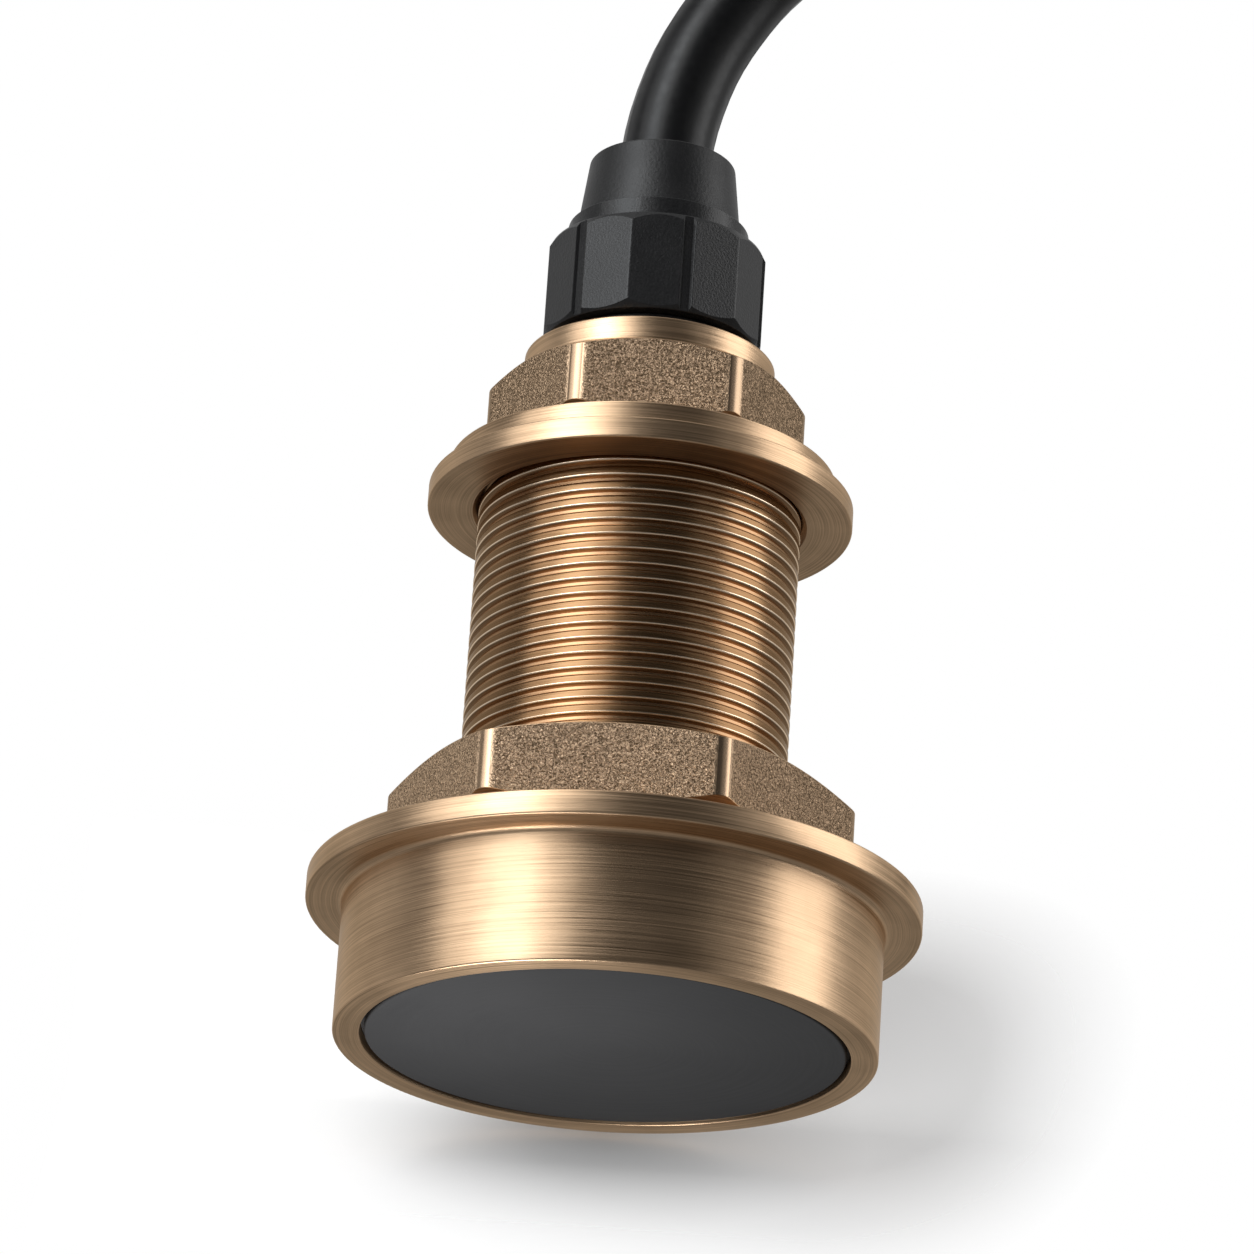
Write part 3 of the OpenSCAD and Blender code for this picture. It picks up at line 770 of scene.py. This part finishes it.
def thread_bronze():
    """Dull crests, flanks and roots lighter in painted light, and a painted highlight line where each crest
    turns under.
    """
    material, tree, shader, place = new_material("thread_bronze")
    marks = turning_marks(tree, place, along=110, across=5200)
    # Share of a pitch above or below the middle of the nearest crest
    _, x, y, z = from_axis(tree, place)
    turn = math_node(tree, "MULTIPLY", math_node(tree, "ARCTAN2", y, x), 1 / (2 * math.pi))
    pitches = math_node(tree, "MULTIPLY_ADD", z, 1 / (PITCH * MM), -FLANGE_TOP / PITCH)
    share = math_node(tree, "WRAP", math_node(tree, "SUBTRACT", pitches, turn), 0.5, -0.5)
    off_middle = math_node(tree, "ABSOLUTE", share)
    off_rim = math_node(tree, "ABSOLUTE", math_node(tree, "ADD", share, THREAD_CREST))
    # Flanks and roots turn lighter: painted light
    flank_light = span(tree, off_middle, FLANK_LIGHT_SPAN, (0, 0.5))
    marks_and_flank_light = math_node(tree, "MULTIPLY_ADD", marks, 0.5, flank_light)
    plain = colour_between(tree, marks_and_flank_light, THREAD_TONES)
    # Painted highlight line along the rim under each crest
    highlight_line = span(tree, off_rim, HIGHLIGHT_LINE_SPAN, (1, 0))
    raised = bump(tree, marks, depth_mm=0.012, strength=0.5)
    fill(tree, shader, {
        "Base Color": colour_between(tree, highlight_line, (plain, THREAD_PAINTED_HIGHLIGHT)),
        "Roughness": span(tree, marks, (0.25, 0.75), (0.22, 0.32)),
        "Metallic": 1,
        "Specular Tint": BRONZE_EDGE,
        "Normal": leaning_normal(tree, marks, reach=0.1, normal=raised),
    })
    return material


def black_plastic():
    """Moulded black plastic with a fine sparked texture."""
    material, tree, shader, place = new_material("black_plastic_textured")
    grain = noise(tree, place, scale=3000, detail=1, roughness=0.6)
    cloud = noise(tree, place, scale=120, detail=3)
    fill(tree, shader, {
        "Base Color": colour_between(tree, grain, PLASTIC_TONES),
        "Roughness": span(tree, cloud, NOISE_SPAN, (0.28, 0.36)),
        "Specular IOR Level": 0.3,
        "Normal": bump(tree, grain, depth_mm=0.06, strength=0.6),
    })
    return material


def relief_rubber():
    material, tree, shader, place = new_material("relief_rubber")
    grain = noise(tree, place, scale=2200, detail=2, roughness=0.6)
    cloud = noise(tree, place, scale=100, detail=3)
    fill(tree, shader, {
        "Base Color": colour_between(tree, grain, RUBBER_TONES),
        "Roughness": span(tree, cloud, NOISE_SPAN, (0.38, 0.48)),
        "Specular IOR Level": 0.33,
        "Normal": bump(tree, grain, depth_mm=0.08, strength=0.6),
    })
    return material


def cable_jacket():
    material, tree, shader, place = new_material("cable_jacket_satin")
    cloud = noise(tree, place, scale=60, detail=3)
    fine = noise(tree, place, scale=900, detail=2)
    fill(tree, shader, {
        "Base Color": colour_between(tree, cloud, JACKET_TONES),
        "Roughness": span(tree, fine, NOISE_SPAN, (0.30, 0.38)),
        "Specular IOR Level": 0.24,
        "Normal": bump(tree, fine, depth_mm=0.012, strength=0.4),
    })
    return material


def face_resin():
    """Satin resin of the sounding face, with faint rings from its facing cut."""
    material, tree, shader, place = new_material("face_resin_satin")
    marks = turning_marks(tree, place, along=40, across=1600)
    cloud = noise(tree, place, scale=45, detail=3)
    tone = span(tree, blend(tree, marks, cloud, share=0.5), NOISE_SPAN, (0, 1))
    fill(tree, shader, {
        "Base Color": colour_between(tree, tone, RESIN_TONES),
        "Roughness": span(tree, marks, NOISE_SPAN, (0.44, 0.52)),
        "Specular IOR Level": 0.07,
        "Normal": bump(tree, marks, depth_mm=0.01, strength=0.35),
    })
    return material


def strap_weave():
    material, tree, shader, place = new_material("strap_weave")
    sockets = {"Vector": place, "Scale": 420, "Distortion": 1.0}
    warp = add_node(tree, "ShaderNodeTexWave", sockets, bands_direction="X")
    weft = add_node(tree, "ShaderNodeTexWave", sockets, bands_direction="DIAGONAL")
    weave = math_node(tree, "MULTIPLY", warp.outputs["Fac"], weft.outputs["Fac"])
    fill(tree, shader, {
        "Base Color": colour_between(tree, weave, STRAP_TONES),
        "Roughness": 0.85,
        "Normal": bump(tree, weave, depth_mm=0.15, strength=0.8),
    })
    return material


def plain_finish(name, tones, scale, roughness, depth_mm=0.03):
    """Finish of an inner or small piece: two close tones and a fine grain."""
    material, tree, shader, place = new_material(name)
    grain = noise(tree, place, scale, detail=3)
    spread = (roughness - FINISH_SPREAD, roughness + FINISH_SPREAD)
    fill(tree, shader, {
        "Base Color": colour_between(tree, grain, tones),
        "Roughness": span(tree, grain, NOISE_SPAN, spread),
        "Normal": bump(tree, grain, depth_mm, strength=0.4),
    })
    return material


def dress(piece, *materials):
    for material in materials:
        piece.data.materials.append(material)


def dress_nodes(material, *names):
    for name in names:
        for slot in NODES[name].material_slots:
            slot.material = material


# Camera and cord
add_camera()
cable = add_cable()
straps = add_ties()

# Pieces
housing = add_housing()
nut = add_hull_nut()
cap = add_stem_cap()
grip = add_gland_nut()

bronze = turned_bronze()
threaded = thread_bronze()
plastic = black_plastic()
rubber = relief_rubber()
jacket = cable_jacket()

PLAIN, THREADED = 0, 1
dress(housing, bronze, threaded)
for polygon in housing.data.polygons:
    middle = polygon.center
    on_stem = math.hypot(middle.x, middle.y) < (STEM_R + FIT) * MM and middle.z > FLANGE_TOP * MM
    polygon.material_index = THREADED if on_stem else PLAIN
dress(nut, cast_bronze("cast_bronze_nut", hex_corner_r(NUT_ACROSS), NUT_TONE), bronze)
dress(cap, cast_bronze("cast_bronze_cap", hex_corner_r(CAP_ACROSS), CAP_TONE), bronze)
dress(grip, plastic)
dress(cable, jacket)
dress(straps, strap_weave())

dress_nodes(bronze, "stepped_ring")
dress_nodes(face_resin(), "acoustic_window")
dress_nodes(plastic, "gland_body", "plug_body", "plug_coupling_ring")
dress_nodes(rubber, "strain_relief", "gland_seal_sleeve", "cap_seal_ring", "plug_boot")

# Inner and small pieces: finish, its two tones, scale of its grain, roughness and depth of its grain
for node, finish in {
    "piezo_element": ("element_ceramic_fired", ((0.62, 0.55, 0.40), (0.70, 0.63, 0.48)), 300, 0.45),
    "cork_cup": ("cork_granules", ((0.22, 0.11, 0.04), (0.46, 0.28, 0.13)), 700, 0.85, 0.2),
    "potting": ("potting_resin_cast", ((0.03, 0.03, 0.03), (0.06, 0.06, 0.06)), 150, 0.4),
    "signal_lead": ("white_insulation_satin", ((0.70, 0.70, 0.68), (0.78, 0.78, 0.76)), 500, 0.4),
    "ground_lead": ("black_insulation_satin", ((0.012, 0.012, 0.012), (0.02, 0.02, 0.02)), 500, 0.4),
    "plug_insert": ("insert_plastic_grey", ((0.10, 0.10, 0.10), (0.14, 0.14, 0.14)), 800, 0.45),
}.items():
    dress_nodes(plain_finish(*finish), node)

# Bodies, replaced nodes and slots
for piece, slot, replaced in (
    (cable, "cable_jacket", ("cable", "cable_hank", "cable_tail")),
    (straps, "tie_strap", ("hank_ties",)),
    (housing, "turned_bronze", ("transducer_housing",)),
    (nut, "cast_bronze", ("hull_nut",)),
    (cap, "cast_bronze", ("stem_cap",)),
    (grip, "black_plastic", ("gland_nut",)),
):
    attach(piece, "root")
    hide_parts(*replaced)

# The hank, outside the photograph's view, would darken the right side of the bronze
for piece in (cable, straps):
    piece.visible_glossy = False

# Stage: a floor under the object, and a sheet behind it that takes its shadow in the photograph's view
FLOOR_DROP = 0.2 * MM
FLOOR_HALF = 3.0
PALE = (0.40, 0.40, 0.40, 1)
SWEEP_HALF = 105 * MM
SWEEP_TALL = 40 * MM
SWEEP_FOOT = 6 * MM
SWEEP_BEND_R = 8 * MM
SWEEP_LEAN = math.radians(98)
SWEEP_BEND_STEPS = 10
SWEEP_LOOK_DOWN = math.radians(16)
SWEEP_REST = Vector((0, CAN_R, 0)) * MM
SHADE_MIDDLE = Vector((25, CAN_R, 0)) * MM
# Painted glow that shapes how dark the shadow falls: at the foot of the can and away from it, what is added
# outside the shadow, and far out on the floor
NEAR_GLOW = 0.16
MID_GLOW = 0.48
FAR_GLOW = 0.27
RIM_GLOW = 0.3
NEAR_SPAN = (0, 40 * MM)
FAR_SPAN = (35 * MM, 100 * MM)
RIM_SPAN = (300 * MM, 900 * MM)
# Places between which the sheet's way out counts from 0 to 2, and counts between which it turns clear
FADE_RIGHT = (28 * MM, 116 * MM)
FADE_LOW = (42 * MM, -84 * MM)
FADE_HIGH = (1.5 * MM, 72.7 * MM)
FADE_COUNT = (0, 2)
FADE_EDGE = (0.8, 1.25)


def fade_out(tree, place):
    """Share by which the sheet is clear: it fades out to the right of the shadow, below it and above it."""
    parts = add_node(tree, "ShaderNodeSeparateXYZ", {0: place}).outputs
    right = span(tree, parts["X"], FADE_RIGHT, FADE_COUNT)
    low = span(tree, parts["Z"], FADE_LOW, FADE_COUNT)
    high = span(tree, parts["Z"], FADE_HIGH, FADE_COUNT)
    # Right and low join in a circle, and high joins them in a rounded square
    aside = math_node(tree, "ADD", math_node(tree, "POWER", right, 2), math_node(tree, "POWER", low, 2))
    out = math_node(tree, "ADD", math_node(tree, "POWER", aside, 2), math_node(tree, "POWER", high, 4))
    return span(tree, math_node(tree, "POWER", out, 0.25), FADE_EDGE, (0, 1))


def pale_material(name, rim_glow=0, fades=False):
    """Pale where it is lit, with a painted glow that grows away from the object and lightens its shadow, and
    clear from its back.
    """
    material = bpy.data.materials.new(name)
    tree = empty_tree(material)
    diffuse = add_node(tree, "ShaderNodeBsdfDiffuse", {"Color": PALE})
    geometry = add_node(tree, "ShaderNodeNewGeometry").outputs
    place = geometry["Position"]
    near = vector_node(tree, "DISTANCE", {0: place, 1: SWEEP_REST})["Value"]
    far = vector_node(tree, "DISTANCE", {0: place, 1: SHADE_MIDDLE})["Value"]
    glow = span(tree, near, NEAR_SPAN, (NEAR_GLOW, MID_GLOW))
    glow = math_node(tree, "ADD", glow, span(tree, far, FAR_SPAN, (0, FAR_GLOW)))
    glow = math_node(tree, "ADD", glow, span(tree, far, RIM_SPAN, (0, rim_glow)))
    emission = add_node(tree, "ShaderNodeEmission", {"Strength": glow})
    lit = add_node(tree, "ShaderNodeAddShader", {0: diffuse.outputs[0], 1: emission.outputs[0]})
    clear = add_node(tree, "ShaderNodeBsdfTransparent")
    gone = geometry["Backfacing"]
    if fades:
        gone = math_node(tree, "MAXIMUM", gone, fade_out(tree, place))
    mixed = add_node(tree, "ShaderNodeMixShader", {0: gone, 1: lit.outputs[0], 2: clear.outputs[0]})
    add_node(tree, "ShaderNodeOutputMaterial", {"Surface": mixed.outputs[0]})
    return material


def add_sheet(name, points, faces, material):
    mesh = bpy.data.meshes.new(name)
    mesh.from_pydata([tuple(p) for p in points], [], faces)
    mesh.polygons.foreach_set("use_smooth", [True] * len(faces))
    mesh.materials.append(material)
    sheet = bpy.data.objects.new(name, mesh)
    bpy.context.scene.collection.objects.link(sheet)
    sheet.visible_shadow = False
    sheet.visible_diffuse = False
    sheet.visible_glossy = False


def add_floor():
    corners = [(-1, -1), (1, -1), (1, 1), (-1, 1)]
    points = [(x * FLOOR_HALF, y * FLOOR_HALF, -FLOOR_DROP) for x, y in corners]
    add_sheet("floor", points, [(0, 1, 2, 3)], pale_material("pale_floor", rim_glow=RIM_GLOW))


def add_sweep():
    """Sheet through the foot of the can's back rim, bent up behind it, that fades out round the shadow."""
    rise = SWEEP_LOOK_DOWN - CAM_ELEVATION
    step = (SWEEP_LEAN - rise) / SWEEP_BEND_STEPS
    slope = Vector((0, math.cos(rise), math.sin(rise)))
    spine = [SWEEP_REST - slope * SWEEP_HALF, SWEEP_REST + slope * SWEEP_FOOT]
    for k in range(SWEEP_BEND_STEPS):
        turn = rise + (k + 0.5) * step
        spine.append(spine[-1] + Vector((0, math.cos(turn), math.sin(turn))) * SWEEP_BEND_R * step)
    spine.append(spine[-1] + Vector((0, math.cos(SWEEP_LEAN), math.sin(SWEEP_LEAN))) * SWEEP_TALL)
    points = [p + Vector((SHADE_MIDDLE.x + side * SWEEP_HALF, 0, 0)) for p in spine for side in (-1, 1)]
    faces = [(k, k + 1, k + 3, k + 2) for k in range(0, len(points) - 2, 2)]
    add_sheet("sweep", points, faces, pale_material("pale_sweep", fades=True))


add_floor()
add_sweep()

# Light
LAMP_AIM = Vector((0, 0, 0.06))
FACE_AIM = Vector((0, 0, 0))
WHITE = (1, 1, 1)
COOL_WHITE = (0.88, 0.95, 1)


def add_lamp(name, azimuth, elevation, distance, size, power, aim=LAMP_AIM, colour=WHITE):
    """Soft box at an angle from the camera's side, azimuth to the right, facing the object."""
    turn = math.radians(azimuth)
    lift = math.radians(elevation)
    back = Vector((math.sin(turn) * math.cos(lift), -math.cos(turn) * math.cos(lift), math.sin(lift)))
    data = bpy.data.lights.new(name, "AREA")
    data.shape = "RECTANGLE"
    data.size, data.size_y = size
    data.energy = power
    data.color = colour
    lamp = bpy.data.objects.new(name, data)
    lamp.location = aim + back * distance
    lamp.rotation_mode = "QUATERNION"
    lamp.rotation_quaternion = back.to_track_quat("Z", "Y")
    lamp.visible_camera = False
    bpy.context.scene.collection.objects.link(lamp)


add_lamp("key", azimuth=-47, elevation=22, distance=1.3, size=(1.4, 1.3), power=11)
add_lamp("key_core", azimuth=-43, elevation=22, distance=1.25, size=(0.5, 1.2), power=6.2, colour=COOL_WHITE)
add_lamp("right_strip", azimuth=83, elevation=20, distance=1.3, size=(0.76, 1.2), power=8)
add_lamp("right_fill", azimuth=51, elevation=20, distance=1.3, size=(0.5, 1.2), power=0.5)
add_lamp("top", azimuth=-35, elevation=50, distance=1.4, size=(0.7, 0.7), power=4)
add_lamp("low_fill", azimuth=-54, elevation=-55, distance=0.06, size=(0.04, 0.04), power=0.054, aim=FACE_AIM)

# Light of the room by the direction it comes from: behind against front, low against level, above and below
WALL_SPAN = (-0.15, 0.35)
WALL_LIGHT = (0.056, 0.6)
LOW_SPAN = (-0.35, 0.0)
LOW_SHARE = (0.45, 1.0)
CEILING_SPAN = (0.80, 0.95)
CEILING_LIGHT = (0, 0.56)
TABLE_SPAN = (-0.30, -0.55)
TABLE_LIGHT = (0, 0.32)
# Even light that falls on the object, where the room isn't seen or mirrored
EVEN_LIGHT = 0.176


def add_world():
    """White to the camera, the room in reflections and through clear pieces, and an even light elsewhere."""
    world = bpy.data.worlds.new("studio")
    bpy.context.scene.world = world
    tree = empty_tree(world)
    path = add_node(tree, "ShaderNodeLightPath").outputs
    ray = add_node(tree, "ShaderNodeTexCoord").outputs["Generated"]
    _, y, z = add_node(tree, "ShaderNodeSeparateXYZ", {0: ray}).outputs
    walls = span(tree, y, WALL_SPAN, WALL_LIGHT)
    room = math_node(tree, "MULTIPLY", walls, span(tree, z, LOW_SPAN, LOW_SHARE))
    ceiling = span(tree, z, CEILING_SPAN, CEILING_LIGHT)
    table = span(tree, z, TABLE_SPAN, TABLE_LIGHT)
    room = math_node(tree, "MAXIMUM", room, math_node(tree, "MAXIMUM", ceiling, table))
    seen = math_node(tree, "MAXIMUM", path["Is Camera Ray"], room)
    mirrored = math_node(tree, "MAXIMUM", path["Is Glossy Ray"], path["Is Transmission Ray"])
    shows = math_node(tree, "MAXIMUM", path["Is Camera Ray"], mirrored)
    sockets = {"Factor": shows, MIX_NUMBER_A: EVEN_LIGHT, MIX_NUMBER_B: seen}
    strength = add_node(tree, "ShaderNodeMix", sockets, data_type="FLOAT").outputs[0]
    background = add_node(tree, "ShaderNodeBackground", {"Color": (*WHITE, 1), "Strength": strength})
    add_node(tree, "ShaderNodeOutputWorld", {"Surface": background.outputs[0]})


add_world()
bpy.context.scene.view_settings.view_transform = "Standard"
